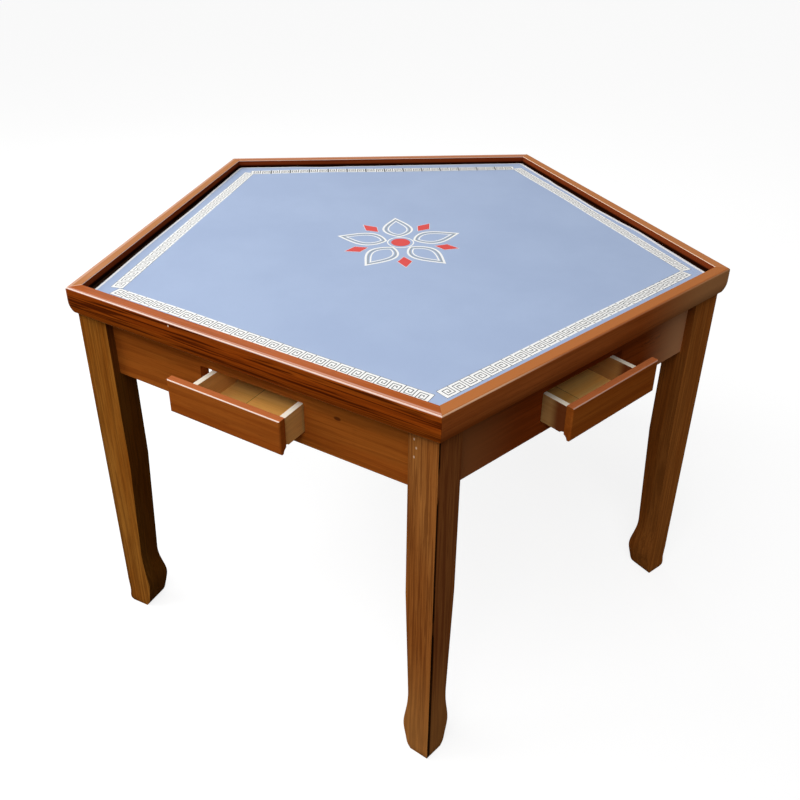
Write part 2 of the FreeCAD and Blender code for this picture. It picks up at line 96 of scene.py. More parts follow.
class Shader:
    """A material with a Principled shader, and short ways to add and join nodes."""

    def __init__(self, name):
        self.material = bpy.data.materials.new(name)
        self.material.use_nodes = True
        self.tree = self.material.node_tree
        self.surface = self.tree.nodes["Principled BSDF"]

    def node(self, kind, **settings):
        made = self.tree.nodes.new(kind)
        for key, value in settings.items():
            setattr(made, key, value)
        return made

    def link(self, source, target):
        self.tree.links.new(source, target)

    def feed(self, socket, value):
        """Joins a socket to another node's output, or sets it to a plain value."""
        if isinstance(value, bpy.types.NodeSocket):
            self.link(value, socket)
        else:
            socket.default_value = value

    def placed(self, turn=(0, 0, 0), scale=(1, 1, 1), shift=(0, 0, 0)):
        """Object coordinates, shifted, then turned and stretched."""
        coordinates = self.node("ShaderNodeTexCoord")
        turned = self.node("ShaderNodeMapping")
        turned.inputs["Location"].default_value = shift
        turned.inputs["Rotation"].default_value = turn
        self.link(coordinates.outputs["Object"], turned.inputs["Vector"])
        stretched = self.node("ShaderNodeMapping")
        stretched.inputs["Scale"].default_value = scale
        self.link(turned.outputs["Vector"], stretched.inputs["Vector"])
        return stretched.outputs["Vector"]

    def noise(self, vector, scale=1.0, detail=2.0, roughness=0.5, distortion=0.0):
        made = self.node("ShaderNodeTexNoise")
        self.link(vector, made.inputs["Vector"])
        made.inputs["Scale"].default_value = scale
        made.inputs["Detail"].default_value = detail
        made.inputs["Roughness"].default_value = roughness
        made.inputs["Distortion"].default_value = distortion
        return made.outputs["Fac"]

    def ramp(self, value, low, high, out_low=0.0, out_high=1.0):
        """Runs smoothly from out_low, where the value is low, to out_high."""
        made = self.node("ShaderNodeMapRange", interpolation_type="SMOOTHSTEP")
        self.feed(made.inputs["Value"], value)
        made.inputs["From Min"].default_value = low
        made.inputs["From Max"].default_value = high
        made.inputs["To Min"].default_value = out_low
        made.inputs["To Max"].default_value = out_high
        return made.outputs["Result"]

    def math(self, operation, first, second=0.0):
        made = self.node("ShaderNodeMath", operation=operation)
        self.feed(made.inputs[0], first)
        self.feed(made.inputs[1], second)
        return made.outputs["Value"]

    def times(self, first, second):
        return self.math("MULTIPLY", first, second)

    def mix(self, factor, first, second):
        made = self.node("ShaderNodeMix", data_type="RGBA")
        self.feed(made.inputs["Factor"], factor)
        self.feed(made.inputs[MIX_FIRST], first)
        self.feed(made.inputs[MIX_SECOND], second)
        return made.outputs[MIX_RESULT]

    def bump(self, height, distance, strength):
        made = self.node("ShaderNodeBump")
        made.inputs["Strength"].default_value = strength
        made.inputs["Distance"].default_value = distance
        self.link(height, made.inputs["Height"])
        self.link(made.outputs["Normal"], self.surface.inputs["Normal"])

    def set(self, **values):
        for key, value in values.items():
            self.feed(self.surface.inputs[key.replace("_", " ")], value)


# ---- woods ---------------------------------------------------------------------------------
UPRIGHT = (0.0, math.pi / 2.0, 0.0)


def along(facing):
    """The turn that lays the grain along a side."""
    return (0.0, 0.0, -math.radians(facing - 90.0))


# For each wood: the colours of its mid tone, its light figure and its dark late wood; how
# strongly the broad ring lines, the long wavy lines and the fine streaks show; how far apart the
# wavy lines lie, per metre across and along the grain, and how wavy they are; and its gloss.
# "top" is the colour of faces that look up, lighter than the rest: painted light from above.
# "edge" is the colour of the rounded edges: a painted highlight. Only the rounded edges and the
# faces that look up have a gloss coat.
WOODS = {
    "rim": dict(
        mid=srgb(160, 70, 14), light=srgb(180, 88, 22), dark=srgb(72, 23, 3), rings=0.35,
        lines=0.9, line_pitch=(200, 4.5, 0.6), streaks=0.25, top=srgb(184, 96, 44),
        edge=srgb(252, 226, 212), roughness=0.3, top_coat=0.07, coat_roughness=0.08,
    ),
    "rim_smooth": dict(
        mid=srgb(168, 85, 34), light=srgb(178, 95, 42), dark=srgb(108, 44, 13), rings=0.15,
        lines=0.25, line_pitch=(130, 5, 0.5), streaks=0.2, top=srgb(190, 106, 48),
        edge=srgb(236, 190, 150), roughness=0.3, top_coat=0.05, coat_roughness=0.08,
    ),
    "apron": dict(
        mid=srgb(170, 88, 28), light=srgb(182, 102, 36), dark=srgb(110, 48, 12), rings=0.2,
        lines=0.35, line_pitch=(150, 4, 0.4), streaks=0.3, edge=srgb(206, 130, 70),
        roughness=0.4, top_coat=0.0, coat_roughness=0.15,
    ),
    "apron_dark": dict(
        mid=srgb(140, 60, 17), light=srgb(152, 70, 24), dark=srgb(88, 32, 7), rings=0.2,
        lines=0.35, line_pitch=(150, 4, 0.4), streaks=0.25, edge=srgb(186, 110, 58),
        roughness=0.4, top_coat=0.0, coat_roughness=0.15,
    ),
    "leg": dict(
        mid=srgb(166, 96, 40), light=srgb(188, 122, 60), dark=srgb(88, 38, 12), rings=0.6,
        lines=0.55, line_pitch=(200, 5, 0.8), streaks=0.45, roughness=0.5, top_coat=0.0,
        coat_roughness=0.2,
    ),
    "leg_gold": dict(
        mid=srgb(164, 94, 28), light=srgb(186, 120, 46), dark=srgb(84, 38, 7), rings=0.45,
        lines=0.38, line_pitch=(200, 5, 0.8), streaks=0.45, roughness=0.5, top_coat=0.0,
        coat_roughness=0.2,
    ),
    "leg_red": dict(
        mid=srgb(164, 88, 31), light=srgb(184, 110, 47), dark=srgb(78, 32, 8), rings=0.35,
        lines=0.3, line_pitch=(180, 4.5, 0.7), streaks=0.4, roughness=0.5, top_coat=0.0,
        coat_roughness=0.2,
    ),
    "drawer_front": dict(
        mid=srgb(166, 84, 26), light=srgb(180, 98, 34), dark=srgb(110, 46, 12), rings=0.1,
        lines=0.25, line_pitch=(110, 5, 0.4), streaks=0.25, top=srgb(194, 110, 62),
        edge=srgb(255, 238, 224), roughness=0.3, top_coat=0.1, coat_roughness=0.1,
    ),
    "drawer_box": dict(
        mid=srgb(240, 182, 104), light=srgb(250, 200, 124), dark=srgb(188, 124, 62), rings=0.2,
        lines=0.15, line_pitch=(120, 5, 0.4), streaks=0.25, top=srgb(255, 246, 226),
        roughness=0.55, top_coat=0.0, coat_roughness=0.2,
    ),
    "drawer_board": dict(
        mid=srgb(255, 188, 96), light=srgb(255, 204, 120), dark=srgb(198, 126, 52), rings=0.3,
        lines=0.15, line_pitch=(60, 4, 0.4), streaks=0.25, roughness=0.6, top_coat=0.0,
        coat_roughness=0.2,
    ),
    "frame": dict(
        mid=srgb(150, 100, 56), light=srgb(176, 126, 76), dark=srgb(92, 54, 24), rings=0.4,
        lines=0.3, line_pitch=(120, 6, 0.5), streaks=0.3, roughness=0.6, top_coat=0.0,
        coat_roughness=0.2,
    ),
    # the panel is near black: painted shade in the gap between the mat and the rim's inner wall
    "panel": dict(
        mid=srgb(46, 30, 20), light=srgb(58, 38, 26), dark=srgb(24, 14, 9), rings=0.2,
        lines=0.1, line_pitch=(120, 6, 0.5), streaks=0.2, roughness=0.7, top_coat=0.0,
        coat_roughness=0.2,
    ),
}


class Spot:
    """A place on a piece in its side's or corner's own frame: x along the side, out from the
    table's axis, height; and how far the surface there faces up and outward."""

    def __init__(self, shader, normal, up, facing):
        turn = -math.radians(facing - 90.0)
        centre = (AXIS_Y * math.sin(turn), -AXIS_Y * math.cos(turn), 0.0)
        own = shader.node("ShaderNodeSeparateXYZ")
        shader.link(shader.placed((0.0, 0.0, turn), shift=centre), own.inputs["Vector"])
        self.x, self.out, self.height = own.outputs["X"], own.outputs["Y"], own.outputs["Z"]
        self.up = up
        along_facing = shader.node("ShaderNodeVectorMath", operation="DOT_PRODUCT")
        shader.link(normal, along_facing.inputs[0])
        angle = math.radians(facing)
        along_facing.inputs[1].default_value = (math.cos(angle), math.sin(angle), 0.0)
        self.outward = along_facing.outputs["Value"]


def wood(name, kind, grain_turn, shift, facing=None, features=(), edge_highlight_share=None):
    """Planed and stained wood: broad figure, ring lines, wavy lines, fine streaks and short
    pores. The grain runs along the X of the turned coordinates. facing is the direction of the
    piece's side or corner. features change the tone at places of the piece: each takes the
    shader, the tone and the spot. The last argument says how bright the painted highlight on the
    rounded edges is, where that changes along the side: from where to where, and the brightness
    at both."""
    look = WOODS[kind]
    shader = Shader(name)

    def grain(across_scale, along_scale):
        return shader.placed(grain_turn, (along_scale, across_scale, across_scale), shift)

    figure = shader.noise(grain(15, 1.1), detail=5.0, roughness=0.6, distortion=0.8)
    tone = shader.mix(shader.ramp(figure, 0.36, 0.64), look["mid"], look["light"])
    rings = shader.node("ShaderNodeTexWave", wave_type="RINGS", rings_direction="X")
    shader.link(grain(34, 1.7), rings.inputs["Vector"])
    for key, value in (("Scale", 1.0), ("Distortion", 9.0), ("Detail", 3.0),
                       ("Detail Scale", 0.8), ("Detail Roughness", 0.55)):
        rings.inputs[key].default_value = value
    patches = shader.ramp(shader.noise(grain(22, 1.6)), 0.38, 0.62)
    ring_lines = shader.times(
        shader.ramp(rings.outputs["Fac"], 0.45, 0.95), shader.times(patches, look["rings"])
    )
    across, lengthwise, waviness = look["line_pitch"]
    line = shader.noise(grain(across, lengthwise), detail=3.0, distortion=waviness)
    lines = shader.ramp(line, 0.46, 0.6, 0.0, look["lines"])
    streak = shader.noise(grain(420, 5.0), roughness=0.6, distortion=0.3)
    streaks = shader.ramp(streak, 0.48, 0.68, 0.0, look["streaks"])
    dark_lines = shader.math("MAXIMUM", ring_lines, shader.math("MAXIMUM", lines, streaks))
    pore = shader.noise(grain(900, 45))
    geometry = shader.node("ShaderNodeNewGeometry")
    parts = shader.node("ShaderNodeSeparateXYZ")
    shader.link(geometry.outputs["Normal"], parts.inputs["Vector"])
    up = parts.outputs["Z"]
    facing_up = shader.ramp(up, 0.55, 0.97)
    # faces that look up take the lighter "top" colour and fainter dark lines: painted light from
    # above
    if "top" in look:
        tone = shader.mix(facing_up, tone, look["top"])
        dark_lines = shader.times(dark_lines, shader.ramp(facing_up, 0.0, 1.0, 1.0, 0.22))
    tone = shader.mix(dark_lines, tone, look["dark"])
    tone = shader.mix(shader.ramp(pore, 0.58, 0.72, 0.0, 0.3), tone, look["dark"])
    if features or edge_highlight_share:
        spot = Spot(shader, geometry.outputs["Normal"], up, facing)
    for feature in features:
        tone = feature(shader, tone, spot)
    coat = shader.times(facing_up, look["top_coat"])
    # rounded edges take the pale "edge" colour, a painted highlight, besides a real gloss coat
    if "edge" in look:
        slope = shader.math("ABSOLUTE", up)
        rounded = shader.times(
            shader.ramp(slope, 0.3, 0.52), shader.ramp(slope, 0.8, 0.93, 1.0, 0.0)
        )
        rounded = shader.times(rounded, shader.ramp(up, 0.0, 0.1))
        if edge_highlight_share:
            rounded = shader.times(rounded, shader.ramp(spot.x, *edge_highlight_share))
        tone = shader.mix(shader.times(rounded, 0.8), tone, look["edge"])
        coat = shader.math("MAXIMUM", coat, shader.times(rounded, 0.65))
    shader.set(
        Base_Color=tone,
        Roughness=shader.ramp(dark_lines, 0.0, 1.0, look["roughness"], look["roughness"] + 0.12),
        Coat_Weight=coat, Coat_Roughness=look["coat_roughness"], Specular_IOR_Level=0.0,
    )
    relief = shader.math("ADD", shader.times(pore, 0.4), line)
    shader.bump(relief, distance=0.00035, strength=0.3)
    return shader.material


# ---- features of single pieces -------------------------------------------------------------
# A feature takes the shader, the tone so far and the spot, and returns the changed tone. The
# ones with settings are made by a function that takes those.

def band(shader, value, low, high, soft):
    """1 where the value lies between low and high, with soft ends."""
    return shader.times(
        shader.ramp(value, low - soft, low + soft),
        shader.ramp(value, high - soft, high + soft, 1.0, 0.0),
    )


def painted_lip_highlight(shader, tone, spot):
    """The rim's small lip, lightened: a painted highlight."""
    low = shader.ramp(spot.height, RIM_LIP_TOP - 0.0008, RIM_LIP_TOP - 0.0002, 1.0, 0.0)
    mark = shader.times(low, shader.ramp(spot.up, -0.5, -0.2))
    return shader.mix(shader.times(mark, 0.85), tone, srgb(236, 158, 100))


def mitre_lines(pale_end):
    """A hairline at each mitre; at the side's pale end (1, -1 or 0 for none) it is light."""
    def feature(shader, tone, spot):
        to_mitre = shader.math(
            "SUBTRACT", shader.times(spot.out, math.tan(HALF_ANGLE)),
            shader.math("ABSOLUTE", spot.x),
        )
        dark = shader.ramp(to_mitre, 0.0002, 0.0007, 0.3, 0.0)
        if pale_end:
            at_end = shader.ramp(shader.times(spot.x, pale_end), 0.0, 0.1)
            pale = shader.times(shader.ramp(to_mitre, 0.0008, 0.0018, 0.6, 0.0), at_end)
            dark = shader.times(dark, shader.math("SUBTRACT", 1.0, at_end))
            tone = shader.mix(pale, tone, srgb(250, 214, 190))
        return shader.mix(dark, tone, srgb(64, 24, 6))

    return feature


# the rim's outer face to where its flat band begins
BAND_START = 0.0035


def painted_outer_sheen(strength, width_low, width_high):
    """A strip along the outer side of the rim's band, paler in uneven patches: a painted sheen;
    its width goes from one value to the other along the side."""
    def feature(shader, tone, spot):
        width = shader.ramp(spot.x, -0.3, 0.3, width_low, width_high)
        inward = shader.math("SUBTRACT", APOTHEM - BAND_START, spot.out)
        outer = shader.ramp(shader.math("DIVIDE", inward, width), 0.75, 1.1, 1.0, 0.0)
        patches = shader.noise(shader.placed(scale=(9, 9, 9)), detail=3.0)
        wander = shader.ramp(patches, 0.3, 0.6, 0.65, 1.0)
        mark = shader.times(shader.times(outer, wander), strength)
        on_top = shader.ramp(spot.up, 0.9, 0.98)
        return shader.mix(shader.times(mark, on_top), tone, srgb(240, 206, 190))

    return feature


def painted_sheen_toward(start, end, colour):
    """Painted sheen: a tone that runs into a paler colour along the side, on faces that don't
    look up.
    """
    def feature(shader, tone, spot):
        mark = shader.ramp(spot.x, start, end)
        not_up = shader.ramp(spot.up, 0.5, 0.8, 1.0, 0.0)
        return shader.mix(shader.times(mark, not_up), tone, colour)

    return feature


def glue_line(strength):
    """The dark glue line beside a leg's outer arris, broken at the top and wider further down."""
    def feature(shader, tone, spot):
        lower = shader.ramp(spot.height, 0.18, 0.52, 1.0, 0.0)
        width = shader.ramp(lower, 0.0, 1.0, 0.0028, 0.0050)
        aside = shader.times(spot.x, -1.0)
        beside = shader.times(
            shader.ramp(aside, -0.0006, 0.0),
            shader.ramp(shader.math("DIVIDE", aside, width), 0.7, 1.15, 1.0, 0.0),
        )
        near_arris = shader.ramp(spot.outward, 0.3, 0.5)
        stretched = shader.placed(UPRIGHT, (14, 40, 40))
        broken = shader.ramp(shader.noise(stretched, detail=3.0), 0.36, 0.46)
        whole = shader.math("MAXIMUM", broken, shader.ramp(lower, 0.0, 1.0, 0.0, 0.92))
        mark = shader.times(shader.times(beside, near_arris), whole)
        return shader.mix(shader.times(mark, strength), tone, srgb(14, 5, 1))

    return feature


def painted_shade_inside(strength):
    """Faces towards the table's middle, darker: painted shade under the table top."""
    def feature(shader, tone, spot):
        mark = shader.ramp(spot.outward, -0.6, -0.4, strength, 0.0)
        return shader.mix(mark, tone, srgb(46, 16, 2))

    return feature


# heights between which the rim's inner wall goes from black, a painted shade, to its own colour
WALL_DARK, WALL_CLEAR = 0.7366, 0.7412


def wall_with_painted_shade(shader, tone, spot):
    """The rim's inner wall, redder than its band, and black just above the mat: painted shade
    where the wall meets the mat.
    """
    inside = shader.ramp(spot.outward, -0.75, -0.55, 1.0, 0.0)
    tone = shader.mix(shader.times(inside, 0.85), tone, srgb(112, 44, 20))
    depth = shader.ramp(spot.height, WALL_DARK, WALL_CLEAR, 0.97, 0.0)
    return shader.mix(shader.times(inside, depth), tone, srgb(24, 6, 2))


def painted_inner_arris_highlight(strength):
    """The rounded edge between the rim's band and its inner wall, painted white: a painted
    highlight.
    """
    def feature(shader, tone, spot):
        mark = shader.times(
            band(shader, spot.up, 0.55, 0.97, 0.02),
            shader.ramp(spot.outward, -0.2, -0.1, strength, 0.0),
        )
        return shader.mix(mark, tone, srgb(255, 244, 232))

    return feature


def band_painted_sheen(colour, strength):
    """The rim's flat band in a paler tone for each side: painted light and sheen."""
    def feature(shader, tone, spot):
        return shader.mix(shader.ramp(spot.up, 0.9, 0.98, 0.0, strength), tone, colour)

    return feature


# where the painted shade on a drawer's sides begins and is full, out from the table's axis
SHADED_END = (0.486, 0.506)


def painted_shade_near_front(shader, tone, spot):
    """The outer end of a drawer's side, darker and redder: painted shade with the front's colour
    reflected in it.
    """
    nearness = shader.ramp(spot.out, *SHADED_END, 0.5, 0.95)
    not_up = shader.ramp(spot.up, 0.4, 0.7, 1.0, 0.0)
    return shader.mix(shader.times(nearness, not_up), tone, srgb(116, 48, 16))


def toned_half(sign, colour, strength):
    """The half of the leg on one side of its outer arris, in a darker and redder tone."""
    def feature(shader, tone, spot):
        aside = shader.times(spot.x, sign)
        return shader.mix(shader.ramp(aside, 0.0003, 0.0015, 0.0, strength), tone, colour)

    return feature


def paler_foot(strength):
    """The leg's lower end, worn paler."""
    def feature(shader, tone, spot):
        mark = shader.ramp(spot.height, 0.03, 0.30, strength, 0.0)
        return shader.mix(mark, tone, srgb(210, 146, 78))

    return feature


def board_seam(x):
    """The joint between the two boards of a drawer's bottom; the second is a little darker."""
    def feature(shader, tone, spot):
        second = shader.ramp(spot.x, x - 0.0002, x + 0.0002, 0.0, 0.12)
        tone = shader.mix(second, tone, srgb(150, 96, 40))
        joint = band(shader, spot.x, x - 0.0006, x + 0.0006, 0.0003)
        return shader.mix(shader.times(joint, 0.7), tone, srgb(104, 66, 26))

    return feature


def reach_from(shader, spot, place, size):
    """Distance from a place on a face, 1 at the edge of an oval of the given half sizes."""
    aside = shader.math("DIVIDE", shader.math("SUBTRACT", spot.x, place[0]), size[0])
    above = shader.math("DIVIDE", shader.math("SUBTRACT", spot.height, place[1]), size[1])
    squared = shader.math("ADD", shader.times(aside, aside), shader.times(above, above))
    return shader.math("SQRT", squared)


def marks(places, size, colour, strength=1.0):
    """Small oval spots: pale painted glints, or a dark knot."""
    def feature(shader, tone, spot):
        for place in places:
            mark = shader.ramp(reach_from(shader, spot, place, size), 0.6, 1.1, strength, 0.0)
            tone = shader.mix(mark, tone, colour)
        return tone

    return feature


def torn_grain(place, size, turn):
    """A patch of short dark tears in the grain."""
    def feature(shader, tone, spot):
        near = shader.ramp(reach_from(shader, spot, place, size), 0.5, 1.0, 1.0, 0.0)
        tears = shader.noise(shader.placed(turn, (60, 420, 420)))
        mark = shader.times(near, shader.ramp(tears, 0.52, 0.6, 0.0, 0.6))
        return shader.mix(mark, tone, srgb(60, 24, 8))

    return feature


# ---- which wood and which features each piece has ------------------------------------------
RIM_KINDS = {"front_right": "rim_smooth", "right": "rim_smooth"}
APRON_KINDS = {"front_right": "apron_dark"}
RIM_FEATURES = {
    "back": (
        wall_with_painted_shade, band_painted_sheen(srgb(196, 132, 92), 0.7), mitre_lines(0),
        painted_outer_sheen(0.3, 0.006, 0.006),
    ),
    "right": (
        wall_with_painted_shade, band_painted_sheen(srgb(196, 132, 84), 0.7), mitre_lines(0), painted_inner_arris_highlight(0.9),
    ),
    "front_right": (
        wall_with_painted_shade, band_painted_sheen(srgb(186, 120, 70), 0.6),
        painted_sheen_toward(-0.08, -0.32, srgb(194, 134, 84)), mitre_lines(0),
    ),
    "front_left": (
        # the pale mark on the front-left band is a painted glint
        wall_with_painted_shade, marks(((0.131, 0.7433),), (0.0016, 0.0022), srgb(250, 220, 190)),
        mitre_lines(1), painted_outer_sheen(0.4, 0.0030, 0.0008),
    ),
    "left": (
        wall_with_painted_shade, band_painted_sheen(srgb(196, 136, 88), 0.8), mitre_lines(-1),
        painted_outer_sheen(0.4, 0.005, 0.005),
    ),
}
APRON_FEATURES = {
    "front_left": (marks(((-0.171, 0.6518),), (0.0075, 0.0040), srgb(70, 28, 8), 0.75),),
    "front_right": (
        torn_grain((-0.200, 0.643), (0.045, 0.012), along(SIDES["front_right"])),
        painted_sheen_toward(-0.16, -0.32, srgb(214, 154, 108)),
        painted_sheen_toward(0.14, 0.32, srgb(164, 100, 56)),
    ),
}
BOX_FEATURES = {"front_right": (painted_shade_near_front,)}
BOARD_SEAM = 0.0163
# where the painted highlight on rounded edges is uneven: wood() says what the four values are
RIM_EDGE_HIGHLIGHTS = {"front_right": (0.08, 0.30, 0.15, 1.0)}
FRONT_EDGE_HIGHLIGHTS = {"front_right": (-0.1, 0.1, 0.3, 0.45)}
LEG_KINDS = {"right": "leg_red", "back_right": "leg_red", "left": "leg_gold"}
# pale painted glints near the front leg's top: distance from the arris, and height
LEG_GLINTS = ((0.0320, 0.6813), (0.0290, 0.6673), (0.0318, 0.6496))
LEG_FEATURES = {
    "front": (
        toned_half(-1.0, srgb(132, 62, 34), 0.45), paler_foot(0.35),
        marks(LEG_GLINTS, (0.0011, 0.0026), srgb(240, 212, 180), 0.8), glue_line(0.92),
    ),
    "right": (painted_shade_inside(0.25), glue_line(0.3)),
    "back_right": (painted_shade_inside(0.3), glue_line(0.3)),
    "back_left": (painted_shade_inside(0.3), glue_line(0.3)),
    "left": (painted_shade_inside(0.6), glue_line(0.3)),
}


def finish(material, *names):
    """Gives CAD nodes their material."""
    for name in names:
        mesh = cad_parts[name].data
        mesh.materials.clear()
        mesh.materials.append(material)
        for polygon in mesh.polygons:
            polygon.material_index = 0


def finish_sides():
    """Rim, apron, drawer and runners of each side, each side's boards from another tree."""
    for number, (side, facing) in enumerate(SIDES.items()):
        sideways, outward = along(facing), along(facing + 90.0)
        shift = (0.37 * number, 0.23 * number, 0.11 * number)
        rim = wood("rim_wood_" + side, RIM_KINDS.get(side, "rim"), sideways, shift, facing,
                   (painted_lip_highlight, *RIM_FEATURES[side]), RIM_EDGE_HIGHLIGHTS.get(side))
        apron = wood("apron_wood_" + side, APRON_KINDS.get(side, "apron"), sideways, shift,
                     facing, APRON_FEATURES.get(side, ()))
        front = wood("drawer_front_wood_" + side, "drawer_front", sideways, shift, facing,
                     edge_highlight_share=FRONT_EDGE_HIGHLIGHTS.get(side))
        box_side = wood("drawer_box_wood_" + side, "drawer_box", outward, shift, facing,
                        BOX_FEATURES.get(side, ()))
        box_back = wood("drawer_back_wood_" + side, "drawer_box", sideways, shift)
        board = wood("drawer_board_" + side, "drawer_board", sideways, shift, facing,
                     (board_seam(BOARD_SEAM),))
        runner = wood("runner_wood_" + side, "frame", outward, shift)
        drawer = side + "_drawer_"
        finish(rim, "rim_rail_" + side)
        finish(apron, "apron_" + side)
        finish(front, drawer + "front")
        finish(box_side, drawer + "side_a", drawer + "side_b")
        finish(box_back, drawer + "back")
        finish(board, drawer + "bottom")
        finish(runner, drawer + "runner_a", drawer + "runner_b")


def finish_corners():
    """Leg and brace of each corner."""
    for number, (corner, facing) in enumerate(CORNERS.items()):
        shift = (0.19 * number, 0.31 * number, 0.07 * number)
        leg = wood("leg_wood_" + corner, LEG_KINDS.get(corner, "leg"), UPRIGHT, shift, facing,
                   LEG_FEATURES[corner])
        finish(leg, "leg_" + corner)
        brace = wood("brace_wood_" + corner, "frame", along(facing), shift)
        finish(brace, "corner_brace_" + corner)


def finish_hidden_parts():
    """Panel, stops, keys and bolts."""
    level = (0, 0, 0)
    finish(wood("panel_board", "panel", level, (0, 0, 0)), "top_panel")
    finish(wood("stop_wood", "frame", level, (0.5, 0, 0)), "drawer_stops")
    finish(wood("key_wood", "frame", level, (0.9, 0, 0)), "rim_mitre_keys")
    finish(steel(), "leg_bolts")


def steel():
    """Plain steel with a thin uneven grime."""
    shader = Shader("steel")
    grime = shader.noise(shader.placed(), 160.0, detail=3.0)
    shader.set(
        Base_Color=shader.mix(grime, srgb(150, 150, 150), srgb(182, 182, 180)),
        Metallic=1.0, Roughness=shader.ramp(grime, 0.3, 0.7, 0.3, 0.48),
    )
    return shader.material


# ---- playing mat ---------------------------------------------------------------------------
# How far the mat's edge stops short of its place, along each side: pairs of the distance from
# the side's middle and the gap there, both in millimetres
MAT_EDGE_GAPS = {
    "back": ((-340, 1), (-240, 3), (-150, 10), (-60, 5), (60, 2), (340, 1)),
    "right": ((-340, 2), (-230, 4), (-170, 8), (-30, 10), (60, 6), (140, 1), (230, 3), (340, 5)),
    "front_right": ((-340, 3), (-100, 2), (120, 4), (340, 1)),
    "front_left": ((-340, 1), (-90, 3), (90, 6), (340, 2)),
    "left": ((-340, 9), (-150, 6), (60, 7), (220, 3), (340, 1)),
}
# how wide the mat's white edge, a painted highlight, shows on top, along each side, in metres
MAT_EDGE_WIDTHS = {
    "back": 0.005, "right": 0.0075, "front_right": 0.0035, "front_left": 0.0035, "left": 0.006,
}
MAT_SIDE_ORDER = ("front_right", "right", "back", "left", "front_left")
# places where the mat doesn't lie flat: x, y from the table's axis, height and reach, in mm
MAT_SWELLS = (
    (-355, -205, 2.6, 90),
    (-150, 435, 1.8, 100),
    (415, 235, 2.2, 110),
    (480, 40, 1.2, 90),
    (-420, 150, 1.0, 140),
    (250, -330, 0.9, 120),
)
# rings of the mat's mesh, from the middle out over the edge and back underneath: share of the
# way from the centre, and depth below the top surface; None is where the white edge, a painted
# highlight, starts
MAT_TOP_RINGS = tuple(
    (share, 0.0) for share in (0.06, 0.15, 0.3, 0.45, 0.6, 0.72, 0.82, 0.89, 0.93, 0.96, 0.98)
)
MAT_EDGE_RINGS = (
    (None, 0.0), (0.9972, 0.00015), (0.9988, 0.0005), (1.0, 0.0011), (0.9988, 0.0017),
)
MAT_UNDER_RINGS = tuple((share, MAT_THICKNESS) for share in (0.996, 0.9, 0.6, 0.3))
CLOTH, PAINTED_EDGE_HIGHLIGHT = 0, 1


def smooth_between(pairs, x):
    """Value at x of a smooth line through (x, value) pairs."""
    if x <= pairs[0][0]:
        return pairs[0][1]
    for (x0, v0), (x1, v1) in zip(pairs, pairs[1:]):
        if x <= x1:
            t = (x - x0) / (x1 - x0)
            t = t * t * (3.0 - 2.0 * t)
            return v0 + (v1 - v0) * t
    return pairs[-1][1]


def mat_height(x, y):
    """Top of the mat above a point of the part's frame."""
    height = PANEL_TOP + MAT_THICKNESS
    for sx, sy, lift, reach in MAT_SWELLS:
        squared = (x * 1000 - sx) ** 2 + ((y - AXIS_Y) * 1000 - sy) ** 2
        height += lift / 1000.0 * math.exp(-squared / reach ** 2)
    return height


def mesh_piece(name, vertices, faces, materials, face_materials=()):
    """A smooth piece that rides on the table. face_materials may say which material each face
    has; else it is the first."""
    mesh = bpy.data.meshes.new(name)
    mesh.from_pydata(vertices, [], faces)
    for material in materials:
        mesh.materials.append(material)
    for polygon, index in zip(mesh.polygons, face_materials):
        polygon.material_index = index
    for polygon in mesh.polygons:
        polygon.use_smooth = True
    mesh.validate()
    piece = bpy.data.objects.new(name, mesh)
    bpy.context.scene.collection.objects.link(piece)
    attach(piece, "table")
    return piece


def mat_outline(points_per_side=120):
    """Points round the mat's edge, counter-clockwise."""
    outline = []
    half = MAT_APOTHEM * math.tan(HALF_ANGLE)
    for side in MAT_SIDE_ORDER:
        for i in range(points_per_side):
            x = half * (1.0 - 2.0 * (i + 0.5) / points_per_side)
            gap = smooth_between(MAT_EDGE_GAPS[side], x * 1000.0) / 1000.0
            outline.append(on_side(SIDES[side], x * (1.0 - gap / MAT_APOTHEM), MAT_APOTHEM - gap))
    return outline


def playing_mat(materials):
    """The mat as a laid sheet: rounded edge, gaps to the rim and slight swells."""
    outline = mat_outline()
    count = len(outline)
    centre = Vector((0.0, AXIS_Y, 0.0))
    rings = MAT_TOP_RINGS + MAT_EDGE_RINGS + MAT_UNDER_RINGS
    edge_first = len(MAT_TOP_RINGS)
    edge_last = edge_first + len(MAT_EDGE_RINGS) - 1
    vertices = []
    for share, depth in rings:
        for i, point in enumerate(outline):
            side = MAT_SIDE_ORDER[i * len(MAT_SIDE_ORDER) // count]
            edge_start = 1.0 - MAT_EDGE_WIDTHS[side] / MAT_APOTHEM
            at = centre + (point - centre) * (edge_start if share is None else share)
            vertices.append((at.x, at.y, mat_height(at.x, at.y) - depth))
    faces, face_materials = [], []
    for ring in range(len(rings) - 1):
        for i in range(count):
            j = (i + 1) % count
            a, b = ring * count, (ring + 1) * count
            faces.append((a + i, b + i, b + j, a + j))
            face_materials.append(PAINTED_EDGE_HIGHLIGHT if edge_first <= ring < edge_last else CLOTH)
    top = len(vertices)
    vertices.append((0.0, AXIS_Y, mat_height(0.0, AXIS_Y)))
    vertices.append((0.0, AXIS_Y, mat_height(0.0, AXIS_Y) - MAT_THICKNESS))
    last = (len(rings) - 1) * count
    for i in range(count):
        j = (i + 1) % count
        faces += [(top, i, j), (top + 1, last + j, last + i)]
        face_materials += [CLOTH, CLOTH]
    piece = mesh_piece("playing_mat_sheet", vertices, faces, materials, face_materials)
    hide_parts("playing_mat")
    return piece


# ---- print on the mat ----------------------------------------------------------------------
# how far each layer of ink lies above the one below
PRINT_LIFT = 0.00012
# keeps a line's mitre from running out far where the line turns back sharply
LEAST_MITRE = 0.3


